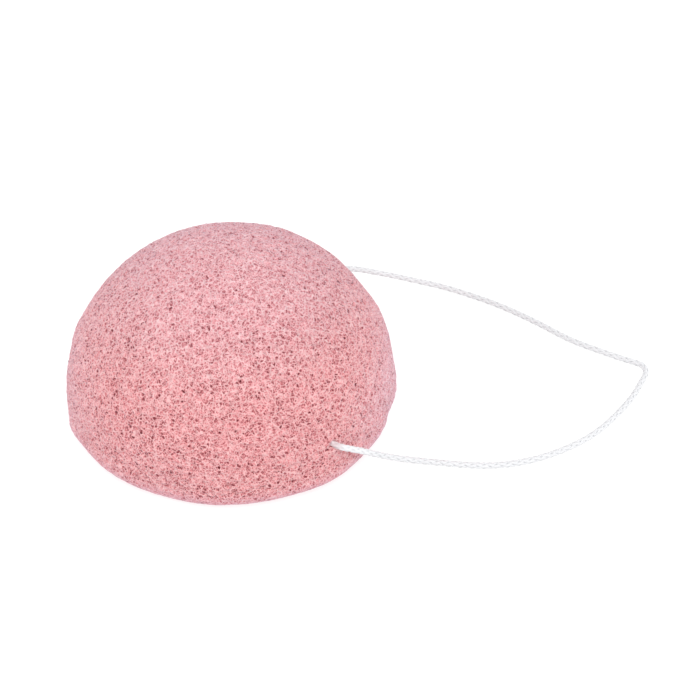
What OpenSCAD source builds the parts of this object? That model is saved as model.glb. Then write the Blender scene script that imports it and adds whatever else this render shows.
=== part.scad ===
// Konjac sponge: a soft half-ball of plant-fibre foam with a flat base, and one
// white cotton cord threaded through it, knotted inside and left as a hanging loop.
// Millimetres. The base rests on z = 0 with its centre at the origin, +Z up.
// The cord's channel runs along Y, and the loop lies on the table towards +X.

/* [Sponge] */
// Widest diameter of the half-ball
sponge_d = 80; // [78:0.5:82]
// Height of the crown above the flat base
sponge_h = 44; // [40:0.5:48]
// Radius of the soft rim between the dome and the base
rim_r = 4; // [2:0.5:6]
// Fullness of the dome's shoulder, 2 is an ellipse
shoulder = 1.8; // [1.7:0.1:2.2]
// Flatness of the dome's crown, 2 is an ellipse
crown = 2; // [1.8:0.1:2.4]

/* [Channel] */
// Distance of the cord's channel from the centre of the base
channel_x = 23; // [22:0.5:24]
// Height of the cord's channel above the base
channel_z = 13; // [12.5:0.5:13.5]
// Radial clearance of the cord in its channel
channel_gap = 0.05; // [0.02:0.01:0.1]
// Radius of the flared mouths 30 mm from the middle of the channel
mouth_r = 4; // [3.9:0.1:4.4]

/* [Cord] */
// Diameter of the braided cotton cord
cord_d = 1.5; // [1.2:0.1:1.6]

/* [Knot] */
// Diameter of the knot inside the sponge
knot_d = 4.4; // [3.6:0.1:5]
// Length of the knot along the channel
knot_l = 6; // [5:0.1:8]
// Clearance round the knot in its pocket
pocket_gap = 0.3; // [0.1:0.05:0.5]

/* [Hidden] */

R = sponge_d / 2;
cord_r = cord_d / 2;
run_end = 25;                   // where the straight runs end and the loop begins
knot_tip = knot_l / 2;
shift = [channel_x - 23, 0, channel_z - 13];
lean = 25;                      // how far below level the cord leans as it leaves the front mouth

// Dome profile: a superellipse above the rim, a quarter circle round the rim.
function dome_pt(t) = [
    R * pow(sin(t), 2 / shoulder),
    rim_r + (sponge_h - rim_r) * pow(cos(t), 2 / crown)
];
function rim_pt(t) = [R - rim_r + rim_r * cos(t), rim_r - rim_r * sin(t)];
dome_steps = 36;
rim_steps = 8;
profile = concat(
    [[0, 0], [0, sponge_h]],
    [for (i = [1 : dome_steps]) dome_pt(90 * i / dome_steps)],
    [for (i = [1 : rim_steps]) rim_pt(90 * i / rim_steps)]
);

// Half outline of the knot: a short barrel with round shoulders, and a flat at
// each end as wide as the cord, where the straight runs meet it.
function barrel(r, h, steps = 10) = let (b = r - cord_r) concat(
    [[0, -h], [0, h]],
    [for (i = [0 : steps]) [cord_r + b * sin(90 * i / steps), h - b + b * cos(90 * i / steps)]],
    [for (i = [0 : steps]) [cord_r + b * cos(90 * i / steps), -h + b - b * sin(90 * i / steps)]]
);

// The loop's route. It bends to the right inside the front mouth, comes down
// to the table, turns back at the far end and rises to the rear mouth.
route = [
    [23, -25, 13], [23, -26.8, 13], [23.3, -28.6, 12.9], [24.2, -30.1, 12.4],
    [25.9, -30.9, 11.8], [28.1, -30.5, 10.8], [31, -29.1, 8.8], [34, -27.5, 6.3],
    [37.5, -25.7, 3.6], [41, -24.5, 1.7], [45.5, -24.2, 0.8], [52, -25.1, 0.8],
    [59, -25.9, 0.8], [65, -25.5, 0.8], [71, -24, 0.8], [77, -21.5, 0.8],
    [83, -18, 0.8], [88, -14, 0.8], [92, -9.5, 0.8], [96, -4.5, 0.8],
    [99, 0, 0.8], [101, 4, 0.8], [102.5, 6.5, 0.8], [103, 9, 0.8],
    [102, 11, 0.8], [99.5, 12, 0.8], [95, 14.5, 0.8], [90, 17.5, 0.8],
    [84.5, 21, 0.8], [79, 26.5, 0.8], [73, 31.5, 0.8], [67, 36, 0.8],
    [61, 39.5, 0.8], [54.5, 42.5, 1.2], [48, 43.5, 2.2], [41.5, 43.5, 4],
    [35.5, 42.5, 6.2], [30.5, 40.5, 8.8], [26.7, 37.7, 11], [24.2, 34.3, 12.5],
    [23.1, 31.3, 13], [23, 28.2, 13], [23, 25, 13]
];

// Smooth curve that starts and ends on the route's own end points.
n = len(route);
ctrl = concat([2 * route[0] - route[1]], route, [2 * route[n - 1] - route[n - 2]]);
function blend(i, t) = (
    pow(1 - t, 3) * ctrl[i]
    + (3 * pow(t, 3) - 6 * t * t + 4) * ctrl[i + 1]
    + (-3 * pow(t, 3) + 3 * t * t + 3 * t + 1) * ctrl[i + 2]
    + pow(t, 3) * ctrl[i + 3]
) / 6;
cuts = 2;
path = concat(
    [for (i = [0 : n - 2]) for (j = [0 : cuts - 1]) blend(i, j / cuts)],
    [route[n - 1]]
);
m = len(path);
function unit(v) = v / norm(v);
function along(k) = k == 0 ? [0, -1, 0]
    : k == m - 1 ? [0, -1, 0]
    : unit(path[k + 1] - path[k - 1]);
sides = 8;
function ring(k) = let (
    t = along(k),
    s = unit(cross(t, [0, 0, 1])),
    u = cross(s, t)
) [for (j = [0 : sides - 1]) let (a = 360 * (j + 0.5) / sides)
    path[k] + cord_r * (cos(a) * s + sin(a) * u)];

module along_y(from, to, r) {
    translate([channel_x, from, channel_z])
        rotate([-90, 0, 0])
            cylinder(h = to - from, r = r, $fn = 48);
}

module mouth(side) {
    // a flare, kept to the side to which the cord leans as the loop swings up
    wall = cord_r + channel_gap + 0.1;
    intersection() {
        translate([channel_x, side * 26, channel_z])
            rotate([side * -90, 0, 0])
                cylinder(h = 8, r1 = cord_r + channel_gap,
                    r2 = cord_r + channel_gap + (mouth_r - cord_r - channel_gap) * 2, $fn = 48);
        translate([channel_x - wall, -R, 0])
            cube([R, 2 * R, sponge_h]);
        translate([channel_x, -R, channel_z])
            rotate([0, lean, 0])
                translate([-R, 0, -wall])
                    cube([2 * R, 2 * R, R]);
    }
}

// Foam half-ball with the cord's channel, its two mouths and the knot's pocket.
module sponge_body() {
    color([0.906, 0.672, 0.683])
    difference() {
        rotate_extrude($fn = 128) polygon(profile);
        along_y(-R, R, cord_r + channel_gap);
        mouth(-1);
        mouth(1);
        translate([channel_x, 0, channel_z])
            rotate([-90, 0, 0])
                rotate_extrude($fn = 48)
                    polygon(barrel(knot_d / 2 + pocket_gap, knot_tip + pocket_gap));
    }
}

// Free loop of cord, from the front mouth round to the rear mouth.
module cord_loop() {
    color([0.95, 0.95, 0.94])
    translate(shift)
    polyhedron(
        points = [for (k = [0 : m - 1]) each ring(k)],
        faces = concat(
            [[for (j = [0 : sides - 1]) sides - 1 - j]],
            [for (k = [0 : m - 2]) for (j = [0 : sides - 1]) let (a = k * sides + j, b = k * sides + (j + 1) % sides)
                [a, b, b + sides, a + sides]],
            [[for (j = [0 : sides - 1]) (m - 1) * sides + j]]
        ),
        convexity = 10
    );
}

// Straight runs of cord inside the channel, from the knot to each mouth.
module cord_run_front() {
    color([0.95, 0.95, 0.94]) along_y(-run_end, -knot_tip, cord_r);
}

module cord_run_rear() {
    color([0.95, 0.95, 0.94]) along_y(knot_tip, run_end, cord_r);
}

// Knot that ties the two ends together inside the foam.
module cord_knot() {
    color([0.93, 0.93, 0.92])
    translate([channel_x, 0, channel_z])
        rotate([-90, 0, 0])
            rotate_extrude($fn = 48)
                polygon(barrel(knot_d / 2, knot_tip));
}

sponge_body();
cord_loop();
cord_run_front();
cord_run_rear();
cord_knot();
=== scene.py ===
"""Looks of the half-ball facial sponge and its braided hanging loop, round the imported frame. All lengths in metres."""

import itertools
import math

import bpy
import numpy as np
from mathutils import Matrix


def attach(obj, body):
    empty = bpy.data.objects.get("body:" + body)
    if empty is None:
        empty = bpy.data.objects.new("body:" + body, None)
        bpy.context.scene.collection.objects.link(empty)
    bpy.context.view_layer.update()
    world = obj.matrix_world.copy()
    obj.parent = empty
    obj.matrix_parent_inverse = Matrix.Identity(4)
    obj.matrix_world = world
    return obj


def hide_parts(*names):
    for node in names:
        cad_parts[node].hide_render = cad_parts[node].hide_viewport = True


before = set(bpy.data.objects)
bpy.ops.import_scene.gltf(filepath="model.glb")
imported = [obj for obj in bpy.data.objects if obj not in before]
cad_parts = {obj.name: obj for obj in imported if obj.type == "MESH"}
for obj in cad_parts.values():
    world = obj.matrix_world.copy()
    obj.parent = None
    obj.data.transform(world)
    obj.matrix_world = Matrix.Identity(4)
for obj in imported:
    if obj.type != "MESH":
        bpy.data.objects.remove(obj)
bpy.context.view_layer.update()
scene = bpy.context.scene
MM = 0.001

# ------------------------------------------------------------------ camera
cam_data = bpy.data.cameras.new("camera")
cam_data.sensor_width, cam_data.sensor_fit, cam_data.lens = 36.0, "HORIZONTAL", 73.286
cam_data.clip_start, cam_data.clip_end = 0.01, 50.0
camera = bpy.data.objects.new("camera", cam_data)
camera.location = (0.02864, -0.26401, 0.23200)
camera.rotation_euler = (math.radians(50.5), 0.0, 0.0)
scene.collection.objects.link(camera)
scene.camera = camera
scene.view_settings.view_transform = "Standard"
scene.view_settings.look = "None"
scene.view_settings.exposure = 0.0
scene.view_settings.gamma = 1.0


# ------------------------------------------------------------------ small helpers
def unit(v):
    return v / np.maximum(np.linalg.norm(v, axis=-1, keepdims=True), 1e-12)


def hash01(cells, seed):
    """One repeatable number from 0 to 1 for each integer cell."""
    mask = 0xFFFFFFFF
    h = (cells[:, 0] * 73856093) ^ (cells[:, 1] * 19349663) ^ (cells[:, 2] * 83492791)
    h = (h ^ (seed * 374761393 + 668265263)) & mask
    for _ in range(2):
        h = ((h ^ (h >> 16)) * 73244475) & mask
    return ((h ^ (h >> 16)) & mask) / mask


def value_noise(p, size, seed):
    """Smooth noise from -1 to 1 whose lumps are about size across."""
    q = p / size
    base = np.floor(q).astype(np.int64)
    t = q - base
    t = t * t * (3 - 2 * t)
    out = np.zeros(len(p))
    for corner in itertools.product((0, 1), repeat=3):
        c = np.array(corner)
        w = np.prod(np.where(c, t, 1 - t), axis=1)
        out += w * hash01(base + c, seed)
    return 2 * out - 1


def warp(p, size, amount, seed):
    return p + amount * np.stack([value_noise(p, size, seed + k) for k in range(3)], axis=1)


def smoothstep(lo, hi, x):
    t = np.clip((x - lo) / (hi - lo), 0, 1)
    return t * t * (3 - 2 * t)


def mesh_object(name, points, quads, smooth=True):
    me = bpy.data.meshes.new(name)
    quads = [np.asarray(q, np.int64) for q in quads]  # a list of (n, k) face arrays
    loops = np.concatenate([q.ravel() for q in quads])
    sizes = np.concatenate([np.full(len(q), q.shape[1]) for q in quads])
    me.vertices.add(len(points))
    me.vertices.foreach_set("co", np.asarray(points, np.float32).ravel())
    me.loops.add(len(loops))
    me.loops.foreach_set("vertex_index", loops.astype(np.int32))
    me.polygons.add(len(sizes))
    me.polygons.foreach_set("loop_start", np.concatenate([[0], np.cumsum(sizes)[:-1]]).astype(np.int32))
    me.update(calc_edges=True)
    me.validate()
    me.polygons.foreach_set("use_smooth", np.full(len(me.polygons), smooth))
    o = bpy.data.objects.new(name, me)
    scene.collection.objects.link(o)
    return o


def attribute(o, name, values):
    a = o.data.attributes.new(name, "FLOAT", "POINT")
    a.data.foreach_set("value", np.asarray(values, np.float32))


def add_uv(o, uv):
    layer = o.data.uv_layers.new(name="OFBake")
    layer.data.foreach_set("uv", np.asarray(uv, np.float32).ravel())


# ------------------------------------------------------------------ the cord's route
# The free loop's points, the same as in the part's source, in millimetres.
ROUTE = [
    [23, -25, 13], [23, -26.8, 13], [23.3, -28.6, 12.9], [24.2, -30.1, 12.4],
    [25.9, -30.9, 11.8], [28.1, -30.5, 10.8], [31, -29.1, 8.8], [34, -27.5, 6.3],
    [37.5, -25.7, 3.6], [41, -24.5, 1.7], [45.5, -24.2, 0.8], [52, -25.1, 0.8],
    [59, -25.9, 0.8], [65, -25.5, 0.8], [71, -24, 0.8], [77, -21.5, 0.8],
    [83, -18, 0.8], [88, -14, 0.8], [92, -9.5, 0.8], [96, -4.5, 0.8],
    [99, 0, 0.8], [101, 4, 0.8], [102.5, 6.5, 0.8], [103, 9, 0.8],
    [102, 11, 0.8], [99.5, 12, 0.8], [95, 14.5, 0.8], [90, 17.5, 0.8],
    [84.5, 21, 0.8], [79, 26.5, 0.8], [73, 31.5, 0.8], [67, 36, 0.8],
    [61, 39.5, 0.8], [54.5, 42.5, 1.2], [48, 43.5, 2.2], [41.5, 43.5, 4],
    [35.5, 42.5, 6.2], [30.5, 40.5, 8.8], [26.7, 37.7, 11], [24.2, 34.3, 12.5],
    [23.1, 31.3, 13], [23, 28.2, 13], [23, 25, 13],
]
CHANNEL_X, CHANNEL_Z, RUN_END, KNOT_END = 23.0, 13.0, 25.0, 3.0


def b_spline(points, cuts):
    """The uniform cubic B-spline through the route, with its ends mirrored so that it starts and stops at them."""
    c = np.asarray(points, float)
    c = np.vstack([2 * c[0] - c[1], c, 2 * c[-1] - c[-2]])
    t = np.linspace(0, 1, cuts, endpoint=False)[:, None]
    blend = np.hstack([(1 - t) ** 3, 3 * t**3 - 6 * t**2 + 4, -3 * t**3 + 3 * t**2 + 3 * t + 1, t**3]) / 6
    line = np.vstack([blend @ c[i:i + 4] for i in range(len(c) - 3)])
    return np.vstack([line, points[-1]])


def spaced(line, step):
    along = np.concatenate([[0], np.cumsum(np.linalg.norm(np.diff(line, axis=0), axis=1))])
    at = np.linspace(0, along[-1], int(round(along[-1] / step)) + 1)
    return np.stack([np.interp(at, along, line[:, k]) for k in range(3)], axis=1), at


def carried_frames(line, first):
    """A side vector along the line that turns no more than the line does."""
    tangent = unit(np.gradient(line, axis=0))
    side = np.zeros_like(line)
    s = np.asarray(first, float)
    for i, t in enumerate(tangent):
        s = s - t * (s @ t)
        s = s / np.linalg.norm(s)
        side[i] = s
    return tangent, side, np.cross(tangent, side)


STEP = 0.3
loop_line = b_spline(ROUTE, 24)
run = np.arange(KNOT_END, RUN_END + 1e-6, 0.25)
front_run = np.stack([np.full_like(run, CHANNEL_X), -run, np.full_like(run, CHANNEL_Z)], axis=1)
rear_run = front_run[::-1] * [1, -1, 1]
whole, along = spaced(np.vstack([front_run[:-1], loop_line, rear_run[1:]]), STEP)
tangent, side, up = carried_frames(whole, (1, 0, 0))
loop_length = float(np.linalg.norm(np.diff(loop_line, axis=0), axis=1).sum())
run_length = RUN_END - KNOT_END

PITCH, CENTRE_R, RISE = 11.0, 0.51, 0.12
HALF_W, HALF_T = 0.36, 0.17
STRIP_W = 2.0  # the width that each yarn's strip takes in the bake's map, in millimetres


def braid(name, line, s, u, v, along, core=0.2):
    """A round braid of eight yarns along a line: four turn each way, each over one and under one. Lengths in millimetres."""
    points, faces, caps, uvs, length_at, angle_at, yarn_no = [], [], [], [], [], [], []
    n, sides = len(line), 8
    around = np.arange(sides) / sides * 2 * math.pi
    jobs = [(way, k) for way in (1, -1) for k in range(4)]
    rng = np.random.default_rng(11)
    span = along[-1] - along[0]
    rows = max(1, int(math.ceil(span / 60.0)))  # each strip is folded so that the map stays nearly square
    row_length = span / rows
    high = (len(jobs) + 1) * rows * STRIP_W
    scale = 0.98 / max(row_length + 2, high)
    total = 0
    for number, (way, k) in enumerate(jobs + [(0, 0)]):
        if way:
            angle = way * 2 * math.pi * along / PITCH + k * math.pi / 2
            out = CENTRE_R + way * RISE * np.cos(8 * math.pi * along / PITCH)
            slack = 0.012 * np.sin(along * (1.1 + 0.23 * number) + rng.uniform(0, 6.3))
            out = out + slack - 0.012
            radial = np.cos(angle)[:, None] * u + np.sin(angle)[:, None] * v
            centre = line + out[:, None] * radial
            ahead = unit(np.gradient(centre, axis=0))
            r = unit(radial - ahead * (radial * ahead).sum(1)[:, None])
            w = np.cross(ahead, r)
            half_w, half_t = HALF_W, HALF_T
        else:
            centre, r, w, half_w, half_t = line, u, v, core, core
        ring = centre[:, None] + half_w * np.cos(around)[None, :, None] * w[:, None] + half_t * np.sin(around)[None, :, None] * r[:, None]
        points.append(ring.reshape(-1, 3))
        i = np.arange(n - 1)[:, None] * sides + np.arange(sides)[None]
        j = np.arange(n - 1)[:, None] * sides + (np.arange(sides)[None] + 1) % sides
        faces.append(np.stack([i, j, j + sides, i + sides], axis=2).reshape(-1, 4) + total)
        caps.append(np.arange(sides)[::-1][None] + total)
        caps.append(np.arange(sides)[None] + total + (n - 1) * sides)
        # the map: each face's corners, with the seam opened
        s0, s1 = along[:-1] - along[0], along[1:] - along[0]
        row = np.minimum((s0 / row_length).astype(int), rows - 1)
        x0, x1 = s0 - row * row_length, s1 - row * row_length
        band = STRIP_W * 0.86
        y = (number * rows + row) * STRIP_W
        for a in range(sides):
            y0, y1 = y + band * a / sides, y + band * (a + 1) / sides
            uvs.append((number, a, np.stack([np.stack([x0, y0], 1), np.stack([x0, y1], 1), np.stack([x1, y1], 1), np.stack([x1, y0], 1)], axis=1)))
        length_at.append(np.repeat(along, sides))
        angle_at.append(np.tile(around / (2 * math.pi), n))
        yarn_no.append(np.full(n * sides, number / 8.0))
        total += n * sides
    uv = []
    for number in range(len(jobs) + 1):
        block = np.stack([x for m, a, x in uvs if m == number], axis=1)  # rings, sides, corners, 2
        uv.append(block.reshape(-1, 2) * scale + 0.01)
    cap_uv = []
    for c in range(len(caps)):
        t = around if c % 2 else around[::-1]
        cap_uv.append(np.stack([np.cos(t), np.sin(t)], 1) * 0.3 * scale + [0.01 + (row_length + 1.2) * scale, 0.01 + (0.5 + c // 2 * rows * STRIP_W + (c % 2) * 0.7) * scale])
    o = mesh_object(name, np.vstack(points) * MM, [np.vstack(faces), np.vstack(caps)])
    add_uv(o, np.vstack(uv + cap_uv))
    attribute(o, "yarn_length", np.concatenate(length_at))
    attribute(o, "yarn_turn", np.concatenate(angle_at))
    attribute(o, "yarn", np.concatenate(yarn_no))
    return o


cuts = [0, int(round(run_length / STEP)), len(whole) - 1 - int(round(run_length / STEP)), len(whole) - 1]


def stretch(a, b):
    return whole[a:b + 1], tangent[a:b + 1], side[a:b + 1], up[a:b + 1], along[a:b + 1]


cord_front = braid("cord_front_run", *stretch(cuts[0], cuts[1]))
cord_loop = braid("cord_free_loop", *stretch(cuts[1], cuts[2]))
cord_rear = braid("cord_rear_run", *stretch(cuts[2], cuts[3]))

# The knot inside: the cord's tail wraps three times round the straight strand, inside the knot's 4.4 x 6 mm space.
turns = np.linspace(-0.15, 3.35, 421)
wrap_r = 1.42
wrap = np.stack([CHANNEL_X + wrap_r * np.cos(2 * math.pi * turns), -2.1 + (turns - 0.1) * 1.4, CHANNEL_Z + wrap_r * np.sin(2 * math.pi * turns)], axis=1)
wrap, wrap_at = spaced(wrap, STEP * 0.8)
wt, ws, wu = carried_frames(wrap, (1, 0, 0))
knot_wrap = braid("knot_wrap", wrap, wt, ws, wu, wrap_at)
core_y = np.arange(-KNOT_END, KNOT_END + 1e-6, STEP)
core = np.stack([np.full_like(core_y, CHANNEL_X), core_y, np.full_like(core_y, CHANNEL_Z)], axis=1)
ct, cs, cu = carried_frames(core, (1, 0, 0))
knot_core = braid("knot_core", core, ct, cs, cu, core_y + KNOT_END)


def joined(name, parts):
    """One piece from several, with their maps side by side."""
    n = len(parts)
    for k, p in enumerate(parts):
        layer = p.data.uv_layers["OFBake"]
        uv = np.zeros(len(layer.data) * 2, np.float32)
        layer.data.foreach_get("uv", uv)
        uv = uv.reshape(-1, 2)
        uv /= n
        uv[:, 0] += k / n
        layer.data.foreach_set("uv", uv.ravel())
    with bpy.context.temp_override(active_object=parts[0], selected_editable_objects=parts, object=parts[0]):
        bpy.ops.object.join()
    parts[0].name = name
    parts[0].data.name = name
    return parts[0]


knot = joined("cord_knot_wraps", [knot_wrap, knot_core])

# ------------------------------------------------------------------ the sponge's skin
R, H, RIM = 40.0, 44.0, 4.0


def profile():
    """Points down the outline from the crown to the middle of the base, as r and z, in millimetres."""
    t = np.concatenate([[0], np.geomspace(1e-4, 1, 1500)]) * math.pi / 2
    r = R * np.sin(t) ** (2 / 1.8)
    z = RIM + (H - RIM) * np.cos(t)
    t = np.linspace(0, math.pi / 2, 200)[1:]
    r = np.concatenate([r, R - RIM + RIM * np.cos(t)])
    z = np.concatenate([z, RIM - RIM * np.sin(t)])
    r = np.concatenate([r, np.linspace(R - RIM, 0, 400)[1:]])
    z = np.concatenate([z, np.zeros(399)])
    return r, z


def ball_grid(n):
    """A closed grid of quads on a unit ball, from a cube's six sides. Gives the points, the faces and each point's place on the cube."""
    key_of = lambda p: p[..., 0] + (n + 1) * (p[..., 1] + (n + 1) * p[..., 2])
    sides = []
    a, b = np.meshgrid(np.arange(n), np.arange(n), indexing="ij")
    for axis in range(3):
        for end in (0, n):
            corners = []
            for da, db in ((0, 0), (1, 0), (1, 1), (0, 1)):
                p = np.zeros((n, n, 3), np.int64)
                p[..., axis] = end
                p[..., (axis + 1) % 3] = a + da
                p[..., (axis + 2) % 3] = b + db
                corners.append(key_of(p))
            q = np.stack(corners, axis=-1).reshape(-1, 4)
            sides.append(q if end else q[:, ::-1])
    quads = np.vstack(sides)
    keys, quads = np.unique(quads, return_inverse=True)
    quads = quads.reshape(-1, 4)
    place = np.stack([keys % (n + 1), keys // (n + 1) % (n + 1), keys // (n + 1) ** 2], axis=1)
    c = np.tan((place / n * 2 - 1) * math.pi / 4)
    return unit(c), quads, place, keys


def cavities(p, n, cell, small, large, share, seed):
    """How deep the open cells reach below each point: the cells are balls strewn through the foam, cut by its surface."""
    base = np.floor(p / cell).astype(np.int64)
    deep = np.zeros(len(p))
    for offset in itertools.product((-1, 0, 1), repeat=3):
        q = base + np.array(offset)
        jitter = np.stack([hash01(q, seed + k) for k in range(3)], axis=1)
        radius = small + (large - small) * hash01(q, seed + 3) ** 1.6
        d = p - (q + jitter) * cell
        above = (d * n).sum(1)
        off = (d * d).sum(1)
        inside = (off < radius * radius) & (hash01(q, seed + 4) < share)
        reach = above + np.sqrt(np.maximum(above * above - off + radius * radius, 0))
        deep = np.maximum(deep, np.where(inside, reach, 0))
    return deep


N = 200
ball, quads, place, keys = ball_grid(N)
pr, pz = profile()
ds = np.hypot(np.diff(pr), np.diff(pz))
arc = np.concatenate([[0], np.cumsum(ds)])
base_starts = arc[1 + 1500 + 199 - 1]
weight = np.where(0.5 * (arc[1:] + arc[:-1]) < base_starts, 1.0, 0.35)
share_at = np.concatenate([[0], np.cumsum(weight * 0.5 * (pr[1:] + pr[:-1]) * ds)])
share_at /= share_at[-1]
s = np.interp((1 - ball[:, 2]) / 2, share_at, arc)
azimuth = np.arctan2(ball[:, 1], ball[:, 0])
r, z = np.interp(s, arc, pr), np.interp(s, arc, pz)
slope_r = np.gradient(pr, arc)
slope_z = np.gradient(pz, arc)
nr, nz = -np.interp(s, arc, slope_z), np.interp(s, arc, slope_r)
c, si = np.cos(azimuth), np.sin(azimuth)
P = np.stack([r * c, r * si, z], axis=1)
Nrm = unit(np.stack([nr * c, nr * si, nz], axis=1))

# Gentle unevenness of the moulded ball: lumps about 20 mm across, none on the base.
on_dome = smoothstep(0.0, 3.0, z)
lumps = 0.10 * value_noise(P, 17.0, 5) + 0.08 * value_noise(P, 8.0, 6) + 0.10 * value_noise(P, 1.3, 9)
# Where the outline stands out or falls in by up to a millimetre: x, y, z, amount and width.
for x, y, z_at, amount, width in (
    (38.5, -9.5, 3.5, -0.85, 4.0), (24.0, -31.0, 1.7, 0.7, 8.0), (-13.0, -36.8, 1.5, -0.75, 7.0),
    (-36.5, -16.0, 3.5, 0.65, 4.0), (-36.8, 3.5, 18.0, 0.45, 4.5), (22.0, 19.5, 29.0, 0.35, 8.0),
    (13.0, 22.0, 34.0, 0.35, 6.0), (35.0, 11.7, 18.5, 0.35, 4.0), (39.3, 3.8, 10.0, -0.4, 3.5),
):
    lumps = lumps + amount * np.exp(-((P - [x, y, z_at]) ** 2).sum(1) / width**2)

# The mouths. Each is found where the cord's own line comes out of the dome.
def dome_radius(height):
    c = np.clip((height - RIM) / (H - RIM), 0, 1)
    return np.where(height >= RIM, R * (1 - c * c) ** (1 / 1.8), R - RIM + np.sqrt(np.clip(RIM**2 - (RIM - height) ** 2, 0, None)))


outside = np.hypot(whole[:, 0], whole[:, 1]) > dome_radius(whole[:, 2])
front_at = int(np.argmax(outside))
rear_at = len(whole) - 1 - int(np.argmax(outside[::-1]))
across = np.hypot(P[:, 0] - CHANNEL_X, P[:, 2] - CHANNEL_Z)
turn = np.arctan2(P[:, 2] - CHANNEL_Z, P[:, 0] - CHANNEL_X)
facing = np.abs(P[:, 1]) > 20
axis_y = math.sqrt(float(dome_radius(np.array(CHANNEL_Z))) ** 2 - CHANNEL_X**2)
HOLE = 0.9
gone_at = facing & (across < HOLE)
moved = np.zeros_like(P)
for sign, at in ((-1, front_at), (1, rear_at)):
    centre = np.array([CHANNEL_X, sign * axis_y, CHANNEL_Z])
    far = np.linalg.norm(P - centre, axis=1) / 5.0
    moved += ((1 - np.clip(far, 0, 1) ** 2) ** 2)[:, None] * (whole[at] - centre)
smooth_P = P + moved
shifted = (moved**2).sum(1) > 0
back_on = dome_radius(smooth_P[shifted, 2]) / np.hypot(smooth_P[shifted, 0], smooth_P[shifted, 1])
smooth_P[shifted, :2] *= back_on[:, None]
smooth_P = smooth_P + Nrm * (on_dome * (lumps + 0.01))[:, None]
near_line = whole[front_at:front_at + 30], whole[rear_at - 29:rear_at + 1][::-1]
mouth_far = np.minimum(np.linalg.norm(smooth_P - whole[front_at], axis=1), np.linalg.norm(smooth_P - whole[rear_at], axis=1))
near_mouth = 1 - smoothstep(1.0, 2.4, mouth_far)

# Open cells of three sizes.
Pw = warp(P, 1.1, 0.16, 40)
fine = cavities(Pw, Nrm, 0.62, 0.26, 0.46, 1.0, 100)
middle = cavities(Pw, Nrm, 1.05, 0.26, 0.48, 0.85, 200)
coarse = cavities(Pw, Nrm, 2.6, 0.38, 0.7, 0.25, 300)
patchy = 0.5 + 0.5 * value_noise(P, 9.0, 61)
depth = np.maximum(0.50 * fine, np.maximum(0.65 * middle * (0.75 + 0.5 * patchy), 0.75 * coarse))
depth = np.minimum(depth, 0.85)
rim_skin = smoothstep(2.0, 6.0, z)  # the moulded rim is closed and smooth
on_base = 1 - smoothstep(0.0, 0.3, z + (R - RIM - np.minimum(r, R - RIM)) * 0)
openness = (0.35 + 0.65 * rim_skin) * (1 - 0.85 * near_mouth)
openness = np.where(z < 1e-6, 0.8, openness)
depth = depth * openness


def relaxed(values, amount):
    """Each value moved part of the way to the mean of its face neighbours."""
    total = np.zeros(len(values))
    count = np.zeros(len(values))
    for a in range(4):
        for b in ((a + 1) % 4, (a + 3) % 4):
            np.add.at(total, quads[:, a], values[quads[:, b]])
            np.add.at(count, quads[:, a], 1)
    return values + amount * (total / count - values)


depth = relaxed(depth, 0.25)
skin = smooth_P - Nrm * depth[:, None]
for line_part in near_line:  # a low mound where the foam closes on the cord, and a groove under the cord as it leaves
    skin += Nrm * (0.75 * np.exp(-(np.linalg.norm(smooth_P - line_part[3], axis=1) / 2.0) ** 2))[:, None]
    wide = 0.28 + 0.59 * smoothstep(0.3, 4.0, STEP * np.arange(len(line_part)))
    for _ in range(5):
        close = np.nonzero(np.linalg.norm(skin - line_part[len(line_part) // 2], axis=1) < 9)[0]
        gap = skin[close][:, None] - line_part[None]
        d = np.linalg.norm(gap, axis=2)
        k = d.argmin(1)
        d = d[np.arange(len(close)), k]
        under = d < wide[k]
        skin[close[under]] -= Nrm[close[under]] * ((wide[k[under]] - d[under]) * 1.1)[:, None]
skin[:, 2] = np.maximum(skin[:, 2], 0.0)

# Open the mouths and join them by the channel, with the knot's pocket half way.
gone = gone_at[quads].any(1)
front_gone = gone & (P[quads][:, :, 1].mean(1) < 0)
rear_gone = gone & (P[quads][:, :, 1].mean(1) > 0)
kept = quads[~gone]


def rim_loop(lost):
    """The vertices round the faces taken out, in order."""
    edges = {}
    for q in quads[lost]:
        for a, b in zip(q, np.roll(q, -1)):
            edges[(int(a), int(b))] = True
    once = {a: b for a, b in edges if (b, a) not in edges}
    start = min(once)
    loop, at = [start], once[start]
    while at != start:
        loop.append(at)
        at = once[at]
    if len(loop) != len(once):
        raise RuntimeError("the mouth's rim isn't one loop")
    return np.array(loop)


front_loop = rim_loop(front_gone)
index_of = {int(k): i for i, k in enumerate(keys)}
mirrored = place[front_loop] * [1, -1, 1] + [0, N, 0]
rear_loop = np.array([index_of[int(p[0] + (N + 1) * (p[1] + (N + 1) * p[2]))] for p in mirrored])
turned = turn[front_loop]
turned = np.unwrap(turned)
even = turned[0] + np.linspace(0, math.copysign(2 * math.pi, turned[-1] - turned[0]), len(turned), endpoint=False)
even += (turned - even).mean()
around_ring = np.stack([np.cos(even), np.sin(even)], axis=1)
mouth_r = 0.4


def ring_at(index, radius):
    """One ring of the channel's wall round the cord's line."""
    ahead = tangent[index]
    x_way = np.array([1.0, 0, 0]) - ahead * ahead[0]
    x_way = unit(x_way)
    z_way = np.cross(ahead, x_way)
    if z_way[2] < 0:
        z_way = -z_way
    if index < len(whole) // 2:
        x_way, z_way = side[index], up[index]
    return whole[index] + radius * (around_ring[:, :1] * x_way + around_ring[:, 1:] * z_way)


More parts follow.
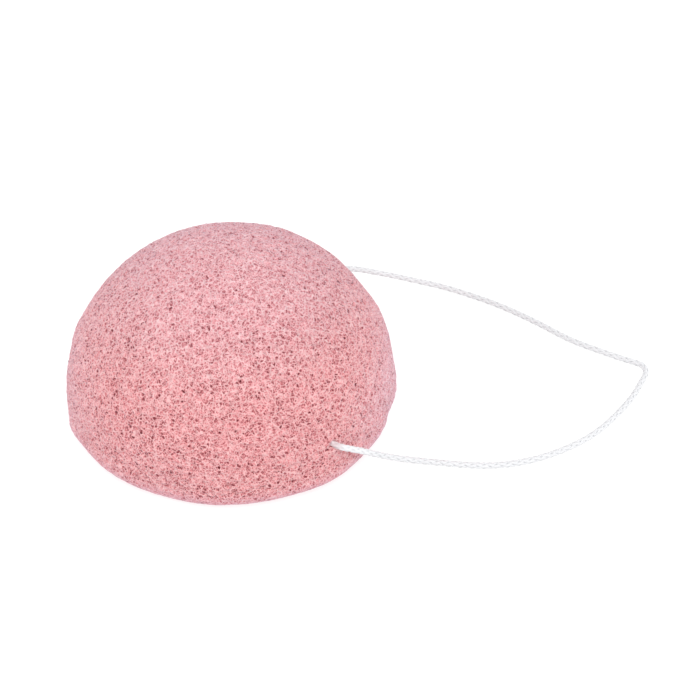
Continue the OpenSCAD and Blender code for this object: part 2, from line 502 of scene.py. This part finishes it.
skin[front_loop] = ring_at(front_at, mouth_r)
skin[rear_loop] = ring_at(rear_at, mouth_r)
first_ring = [ring_at(k, 0.84) for k in range(front_at - 4, 0, -3)]
last_ring = [ring_at(k, 0.84) for k in range(len(whole) - 1, rear_at + 3, -3)]
ring_y = np.linspace(-2.9, 2.9, 13)
pocket = np.sqrt(np.clip(1 - (np.abs(ring_y) / 3.5) ** 4, 0, 1))
inner = [np.stack([CHANNEL_X + (0.84 + 1.66 * w) * around_ring[:, 0], np.full(len(even), y), CHANNEL_Z + (0.84 + 1.66 * w) * around_ring[:, 1]], axis=1) for y, w in zip(ring_y, pocket)]
shoulder = [np.stack([CHANNEL_X + r * around_ring[:, 0], np.full(len(even), y), CHANNEL_Z + r * around_ring[:, 1]], axis=1) for y, r in ((-3.7, 0.84), (-3.4, 1.6), (3.4, 1.6), (3.7, 0.84))]
rings = [q for q in first_ring if q[:, 1].mean() < -4.2] + shoulder[:2] + inner + shoulder[2:] + [q for q in last_ring if q[:, 1].mean() > 4.2]
m = len(front_loop)
ring_points = np.stack(rings)
first = len(skin)
ids = first + np.arange(len(rings) * m).reshape(len(rings), m)
rows = np.vstack([front_loop[None], ids, rear_loop[None]])
tube = np.stack([rows[:-1], np.roll(rows[:-1], -1, axis=1), np.roll(rows[1:], -1, axis=1), rows[1:]], axis=2).reshape(-1, 4)
# face the same way round as the skin they join
edge = set()
for q in kept[np.isin(kept, front_loop).any(1)]:
    for a, b in zip(q, np.roll(q, -1)):
        edge.add((int(a), int(b)))
if (int(tube[0][0]), int(tube[0][1])) in edge:
    tube = tube[:, ::-1]
all_points = np.vstack([skin, ring_points.reshape(-1, 3)])
all_depth = np.concatenate([depth, np.full(ring_points.size // 3, 0.1)])
cells_fine = np.concatenate([fine, np.full(ring_points.size // 3, 0.1)])
used, packed = np.unique(np.concatenate([kept.ravel(), tube.ravel()]), return_inverse=True)
faces = packed.reshape(-1, 4)
sponge = mesh_object("sponge_skin", all_points[used] * MM, [faces])
# pit: how deep each point lies in an open cell; the foam shader darkens the colour with it, painted shade in the pits
attribute(sponge, "pit", np.clip(all_depth[used] / 0.5, 0, 1.6))
attribute(sponge, "grain", np.clip(cells_fine[used] / 0.5, 0, 1.6))

# The bake's map: the dome as one disc, the base as another, the channel as a strip.
full_s = np.concatenate([s, np.zeros(ring_points.size // 3)])
full_az = np.concatenate([azimuth, np.zeros(ring_points.size // 3)])
area_at = np.concatenate([[0], np.cumsum(0.5 * (pr[1:] + pr[:-1]) * ds)])
dome_area = np.interp(base_starts, arc, area_at)
base_area = area_at[-1] - dome_area
dome_r = 0.352 * np.sqrt(np.interp(full_s, arc, area_at) / dome_area)
base_r = 0.225 * np.sqrt(np.maximum(area_at[-1] - np.interp(full_s, arc, area_at), 0) / base_area)
dome_uv = np.stack([0.36 + dome_r * np.cos(full_az), 0.36 + dome_r * np.sin(full_az)], axis=1)
base_uv = np.stack([0.765 + base_r * np.cos(full_az), 0.765 - base_r * np.sin(full_az)], axis=1)
is_base = full_s[kept].mean(1) > base_starts
kept_uv = np.where(is_base[:, None, None], base_uv[kept], dome_uv[kept])
row_count = len(rows) - 1
tube_uv = np.zeros((len(tube), 4, 2))
k = np.arange(len(tube))
row_i, col_i = k // m, k % m
for corner, (dr, dc) in enumerate(((0, 0), (0, 1), (1, 1), (1, 0))):
    tube_uv[:, corner, 0] = 0.74 + 0.22 * (row_i + dr) / row_count
    tube_uv[:, corner, 1] = 0.02 + 0.06 * (col_i + dc) / m
if (int(rows[0][0]), int(rows[0][1])) in edge:
    tube_uv = tube_uv[:, ::-1]
add_uv(sponge, np.concatenate([kept_uv.reshape(-1, 2), tube_uv.reshape(-1, 2)]))


# ------------------------------------------------------------------ materials
def new_material(name):
    m = bpy.data.materials.new(name)
    m.use_nodes = True
    nt = m.node_tree
    nt.nodes.clear()
    return m, nt


def node(nt, kind, inputs=None, **settings):
    n = nt.nodes.new(kind)
    for k, v in settings.items():
        setattr(n, k, v)
    for k, v in (inputs or {}).items():
        if isinstance(v, bpy.types.NodeSocket):
            nt.links.new(v, n.inputs[k])
        else:
            n.inputs[k].default_value = v
    return n


def maths(nt, operation, a, b=0.0, clamp=False):
    n = nt.nodes.new("ShaderNodeMath")
    n.operation, n.use_clamp = operation, clamp
    for i, v in enumerate((a, b)):
        if isinstance(v, bpy.types.NodeSocket):
            nt.links.new(v, n.inputs[i])
        else:
            n.inputs[i].default_value = v
    return n.outputs[0]


def ramp(nt, value, stops):
    n = nt.nodes.new("ShaderNodeValToRGB")
    nt.links.new(value, n.inputs[0])
    n.color_ramp.interpolation = "LINEAR"
    while len(n.color_ramp.elements) > 1:
        n.color_ramp.elements.remove(n.color_ramp.elements[-1])
    n.color_ramp.elements[0].position = stops[0][0]
    n.color_ramp.elements[0].color = (*stops[0][1], 1)
    for at, colour in stops[1:]:
        e = n.color_ramp.elements.new(at)
        e.color = (*colour, 1)
    return n.outputs[0]


def mix(nt, factor, a, b, blend="MIX"):
    n = nt.nodes.new("ShaderNodeMix")
    n.data_type, n.blend_type = "RGBA", blend
    for i, v in ((0, factor), (6, a), (7, b)):
        if isinstance(v, bpy.types.NodeSocket):
            nt.links.new(v, n.inputs[i])
        else:
            n.inputs[i].default_value = v if i == 0 else (*v, 1)
    return n.outputs[2]


def linear(r, g, b):
    """Linear colour from display values out of 255."""
    return tuple((v / 255 / 12.92) if v / 255 <= 0.04045 else ((v / 255 + 0.055) / 1.055) ** 2.4 for v in (r, g, b))


# Foam: pale webs, rosier cells, dark deep cells. The cells and pits are dark partly from the foam's own deeper pink and
# partly from painted shade in the hollows.
foam, nt = new_material("konjac_foam")
geo = node(nt, "ShaderNodeTexCoord").outputs["Object"]
pit = node(nt, "ShaderNodeAttribute", attribute_name="pit").outputs["Fac"]
bent = node(nt, "ShaderNodeTexNoise", {"Vector": geo, "Scale": 900.0, "Detail": 2.0}).outputs["Color"]
wavy = node(nt, "ShaderNodeVectorMath", {0: bent, 1: (0.5, 0.5, 0.5)}, operation="SUBTRACT").outputs[0]
wavy = node(nt, "ShaderNodeVectorMath", {0: wavy, "Scale": 0.0007}, operation="SCALE").outputs[0]
place_in = node(nt, "ShaderNodeVectorMath", {0: geo, 1: wavy}, operation="ADD").outputs[0]


def stepped(value, low, high, start=0.0, end=1.0):
    return node(nt, "ShaderNodeMapRange", {0: value, 1: low, 2: high, 3: start, 4: end}, interpolation_type="SMOOTHSTEP").outputs[0]


def chosen(colour, channel, rare):
    """0 for that share of the cells, and from 0 to 1 for the rest."""
    pick = node(nt, "ShaderNodeSeparateColor", {0: colour}).outputs[channel]
    return maths(nt, "MULTIPLY", maths(nt, "SUBTRACT", pick, rare), 1 / (1 - rare), clamp=True)


def net(scale, thick, low=None, high=None, rare=0.0):
    """The thin walls between cells of that size, and how dark and open the cells are inside."""
    e = node(nt, "ShaderNodeTexVoronoi", {"Vector": place_in, "Scale": scale}, feature="DISTANCE_TO_EDGE").outputs["Distance"]
    wall = stepped(e, 0.0, thick, 1.0, 0.0)
    if low is None:
        return wall, None
    colour = node(nt, "ShaderNodeTexVoronoi", {"Vector": place_in, "Scale": scale}, feature="F1").outputs["Color"]
    return wall, maths(nt, "MULTIPLY", stepped(e, low, high), chosen(colour, 0, rare))


def spots(scale, small, large, rare):
    """Round openings, one in some of the cells of that size."""
    v = node(nt, "ShaderNodeTexVoronoi", {"Vector": place_in, "Scale": scale, "Randomness": 0.9}, feature="F1")
    chance = maths(nt, "POWER", chosen(v.outputs["Color"], 1, rare), 0.5)
    return maths(nt, "MULTIPLY", stepped(v.outputs["Distance"], small, large, 1.0, 0.0), chance)


def times(a, b):
    return maths(nt, "MULTIPLY", a, b)


def plus(*values):
    total = values[0]
    for v in values[1:]:
        total = maths(nt, "ADD", total, v)
    return total


wall_a, open_a = net(920.0, 0.10, 0.03, 0.18, 0.45)
wall_b, open_b = net(1560.0, 0.11, 0.03, 0.24, 0.05)
wall_c, _ = net(540.0, 0.045)
pores = spots(760.0, 0.18, 0.34, 0.55)
dots = spots(500.0, 0.05, 0.16, 0.70)
large = spots(270.0, 0.10, 0.20, 0.60)
fuzz = node(nt, "ShaderNodeTexNoise", {"Vector": geo, "Scale": 3200.0, "Detail": 2.0}).outputs["Fac"]
seen = node(nt, "ShaderNodeTexNoise", {"Vector": geo, "Scale": 420.0, "Detail": 1.0}).outputs["Fac"]
broad = node(nt, "ShaderNodeTexNoise", {"Vector": geo, "Scale": 70.0, "Detail": 2.0}).outputs["Fac"]
parts = node(nt, "ShaderNodeSeparateXYZ", {0: geo})
height_up = parts.outputs[2]
sides = stepped(maths(nt, "ABSOLUTE", parts.outputs[0]), 0.024, 0.038)
rim = stepped(height_up, 0.0012, 0.0062, 1.0, 0.0)
crown = stepped(height_up, 0.026, 0.042)
webs = plus(times(wall_a, 0.48), times(wall_b, 0.42), times(wall_c, 0.24))
webs = times(webs, maths(nt, "SUBTRACT", 1.0, times(pores, 0.6)))
webs = times(webs, maths(nt, "ADD", 0.4, times(seen, 1.2), clamp=True))
tone = plus(
    0.46,
    times(webs, -1.1),
    times(open_a, 0.27),
    times(pores, 0.38),
    times(open_b, 0.38),
    times(dots, 0.35),
    times(large, 0.28),
    times(maths(nt, "SUBTRACT", 0.5, fuzz), 1.3),
    # painted shade: deeper pits painted darker
    times(maths(nt, "POWER", pit, 1.3), 0.05),
)
haze = maths(nt, "MULTIPLY", maths(nt, "SUBTRACT", 0.5, broad), 2.0, clamp=True)
flat = plus(0.10, times(rim, 0.42), times(haze, 0.13), times(crown, 0.19), times(sides, 0.19))
tone = plus(times(tone, maths(nt, "SUBTRACT", 1.0, flat)), times(flat, 0.38))
colour = ramp(nt, tone, [
    (at, tuple(k * v for k, v in zip((0.815, 0.836, 0.842), linear(*shown))))
    for at, shown in (
        (0.0, (255, 210, 210)), (0.2, (255, 190, 193)), (0.45, (237, 158, 161)),
        (0.65, (205, 125, 129)), (0.82, (162, 84, 90)), (1.0, (106, 44, 50)),
    )
])
warmth = maths(nt, "MULTIPLY", maths(nt, "SUBTRACT", broad, 0.45), 1.1, clamp=True)
colour = mix(nt, warmth, colour, (1.0, 0.94, 0.93), "MULTIPLY")
# painted shade: the lower part of the dome, below about 20 to 38 mm and away from the sides, is painted darker and
# redder, as it gets less light
low = times(stepped(height_up, 0.020, 0.038, 1.0, 0.0), maths(nt, "SUBTRACT", 1.0, sides))
colour = mix(nt, low, colour, (1.005, 0.925, 0.92), "MULTIPLY")
# painted highlight: the crown above about 26 mm is painted paler and cooler
colour = mix(nt, stepped(height_up, 0.026, 0.043), colour, (1.01, 1.08, 1.11), "MULTIPLY")
# painted shade: the shoulders either side of the crown are painted slightly darker
painted_shoulder_shade = times(stepped(maths(nt, "ABSOLUTE", parts.outputs[0]), 0.006, 0.032), stepped(height_up, 0.022, 0.036))
colour = mix(nt, painted_shoulder_shade, colour, (0.94, 0.94, 0.945), "MULTIPLY")
# painted sheen: the left and right sides, beyond about 33 mm out, are painted paler and more lilac
colour = mix(nt, stepped(maths(nt, "ABSOLUTE", parts.outputs[0]), 0.033, 0.039), colour, (1.0, 1.06, 1.08), "MULTIPLY")
# painted sheen: the rim band at the bottom is painted paler and more lilac
colour = mix(nt, rim, colour, (0.97, 1.12, 1.20), "MULTIPLY")
# painted sheen: the lower right side is painted paler and more lilac
painted_lower_right_sheen = times(stepped(parts.outputs[0], 0.026, 0.036), stepped(height_up, 0.010, 0.024, 1.0, 0.0))
colour = mix(nt, painted_lower_right_sheen, colour, (1.02, 1.08, 1.11), "MULTIPLY")
height = plus(times(webs, 1.3), times(open_a, -0.4), times(pores, -0.6), times(open_b, -0.3), times(dots, -1.0), times(fuzz, 0.3))
bump = node(nt, "ShaderNodeBump", {"Height": height, "Strength": 0.8, "Distance": 0.00012}).outputs["Normal"]
rough = maths(nt, "ADD", 0.84, maths(nt, "MULTIPLY", fuzz, 0.14))
bsdf = node(nt, "ShaderNodeBsdfPrincipled", {"Base Color": colour, "Roughness": rough, "Normal": bump, "Sheen Weight": 0.45, "Sheen Roughness": 0.35, "Sheen Tint": (0.80, 0.80, 1.0, 1), "Specular IOR Level": 0.15})
out = node(nt, "ShaderNodeOutputMaterial", {"Surface": bsdf.outputs[0]})

# Cotton: white yarns, each with its own slight shade, twisted fibre lines and fuzz.
cotton, nt = new_material("cotton_cord")
geo = node(nt, "ShaderNodeTexCoord").outputs["Object"]
yl = node(nt, "ShaderNodeAttribute", attribute_name="yarn_length").outputs["Fac"]
yt = node(nt, "ShaderNodeAttribute", attribute_name="yarn_turn").outputs["Fac"]
yn = node(nt, "ShaderNodeAttribute", attribute_name="yarn").outputs["Fac"]
twist = maths(nt, "ADD", maths(nt, "MULTIPLY", yl, 7.0), maths(nt, "MULTIPLY", yt, 6.2832 * 3))
lines = maths(nt, "ADD", maths(nt, "MULTIPLY", maths(nt, "SINE", twist), 0.5), 0.5)
fuzz = node(nt, "ShaderNodeTexNoise", {"Vector": geo, "Scale": 3000.0, "Detail": 3.0}).outputs["Fac"]
broad = node(nt, "ShaderNodeTexNoise", {"Vector": geo, "Scale": 220.0, "Detail": 2.0}).outputs["Fac"]
shade = maths(nt, "ADD", maths(nt, "MULTIPLY", lines, 0.35), maths(nt, "MULTIPLY", fuzz, 0.45))
shade = maths(nt, "ADD", shade, maths(nt, "MULTIPLY", maths(nt, "FRACT", maths(nt, "MULTIPLY", yn, 5.13)), 0.2), clamp=True)
colour = ramp(nt, shade, [(0.0, (0.67, 0.675, 0.69)), (0.5, (0.71, 0.715, 0.73)), (1.0, (0.75, 0.755, 0.765))])
# painted light: the cord is painted brighter inside the sponge and for several millimetres where it leaves it
painted_light_front = node(nt, "ShaderNodeMapRange", {0: yl, 1: float(along[front_at]) + 8.0, 2: float(along[front_at]) + 12.0, 3: 1.0, 4: 0.0}, interpolation_type="SMOOTHSTEP").outputs[0]
painted_light_rear = node(nt, "ShaderNodeMapRange", {0: yl, 1: float(along[rear_at]) - 7.0, 2: float(along[rear_at]) - 2.0}, interpolation_type="SMOOTHSTEP").outputs[0]
colour = mix(nt, maths(nt, "MAXIMUM", painted_light_front, painted_light_rear), colour, (1.06, 1.055, 1.055), "MULTIPLY")
# painted shade: the cord's first few millimetres out of the foam are painted a darker pinkish grey, patchy with the
# fuzz
painted_mouth_shade_front = node(nt, "ShaderNodeMapRange", {0: yl, 1: float(along[front_at]) + 0.8, 2: float(along[front_at]) + 3.0, 3: 1.0, 4: 0.0}, interpolation_type="SMOOTHSTEP").outputs[0]
painted_mouth_shade_rear = node(nt, "ShaderNodeMapRange", {0: yl, 1: float(along[rear_at]) - 3.0, 2: float(along[rear_at]) - 0.8}, interpolation_type="SMOOTHSTEP").outputs[0]
colour = mix(nt, maths(nt, "MULTIPLY", maths(nt, "MAXIMUM", painted_mouth_shade_front, painted_mouth_shade_rear), maths(nt, "ADD", 0.25, fuzz, clamp=True)), colour, (0.62, 0.47, 0.48))
colour = mix(nt, maths(nt, "MULTIPLY", broad, 0.25), colour, (0.97, 0.97, 1.0), "MULTIPLY")
height = maths(nt, "ADD", maths(nt, "MULTIPLY", lines, 0.7), maths(nt, "MULTIPLY", fuzz, 0.6))
bump = node(nt, "ShaderNodeBump", {"Height": height, "Strength": 0.4, "Distance": 0.00003}).outputs["Normal"]
rough = maths(nt, "ADD", 0.72, maths(nt, "MULTIPLY", fuzz, 0.2))
bsdf = node(nt, "ShaderNodeBsdfPrincipled", {"Base Color": colour, "Roughness": rough, "Normal": bump, "Sheen Weight": 0.3, "Sheen Roughness": 0.4, "Specular IOR Level": 0.25})
node(nt, "ShaderNodeOutputMaterial", {"Surface": bsdf.outputs[0]})

# Floor: a plain pale table that glows slightly, as a lit tabletop does.
table, nt = new_material("pale_table")
geo = node(nt, "ShaderNodeTexCoord").outputs["Object"]
soft = node(nt, "ShaderNodeTexNoise", {"Vector": geo, "Scale": 6.0, "Detail": 2.0}).outputs["Fac"]
colour = ramp(nt, soft, [(0.0, (0.35, 0.35, 0.35)), (1.0, (0.37, 0.37, 0.37))])
bsdf = node(nt, "ShaderNodeBsdfPrincipled", {"Base Color": colour, "Roughness": 0.9, "Specular IOR Level": 0.0, "Emission Color": (1, 1, 1, 1), "Emission Strength": 0.73})
node(nt, "ShaderNodeOutputMaterial", {"Surface": bsdf.outputs[0]})

sponge.data.materials.append(foam)
for piece in (cord_front, cord_loop, cord_rear, knot):
    piece.data.materials.clear()
    piece.data.materials.append(cotton)

# ------------------------------------------------------------------ floor and light
floor = mesh_object("floor", np.array([[-6, -6, -0.0002], [6, -6, -0.0002], [6, 6, -0.0002], [-6, 6, -0.0002]]), [np.array([[0, 1, 2, 3]])])
floor.data.materials.append(table)

world = bpy.data.worlds.new("studio")
world.use_nodes = True
background = next(n for n in world.node_tree.nodes if n.type == "BACKGROUND")
background.inputs["Color"].default_value = (1, 1, 1, 1)
background.inputs["Strength"].default_value = 0.80
scene.world = world


def softbox(name, place, aim, size, watts, colour=(1, 1, 1)):
    d = bpy.data.lights.new(name, "AREA")
    d.shape, d.size, d.energy, d.color = "SQUARE", size, watts, colour
    o = bpy.data.objects.new(name, d)
    o.location = place
    from mathutils import Vector

    o.rotation_euler = (Vector(aim) - Vector(place)).to_track_quat("-Z", "Y").to_euler()
    scene.collection.objects.link(o)
    return o


softbox("overhead", (0.03, -0.40, 0.86), (0.02, 0.0, 0.0), 0.7, 4.2)
softbox("left", (-0.78, -0.30, 0.28), (0.0, 0.0, 0.02), 0.5, 1.6)
softbox("right", (0.82, -0.30, 0.28), (0.0, 0.0, 0.02), 0.5, 1.7)

# ------------------------------------------------------------------ what rides on what
for piece, names, slot in (
    (sponge, ["sponge_body"], "konjac_foam"),
    (cord_loop, ["cord_loop"], "cotton_cord"),
    (cord_front, ["cord_run_front"], "cotton_cord"),
    (cord_rear, ["cord_run_rear"], "cotton_cord"),
    (knot, ["cord_knot"], "cotton_cord"),
):
    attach(piece, "sponge" if piece is sponge else "cord")
    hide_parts(*names)
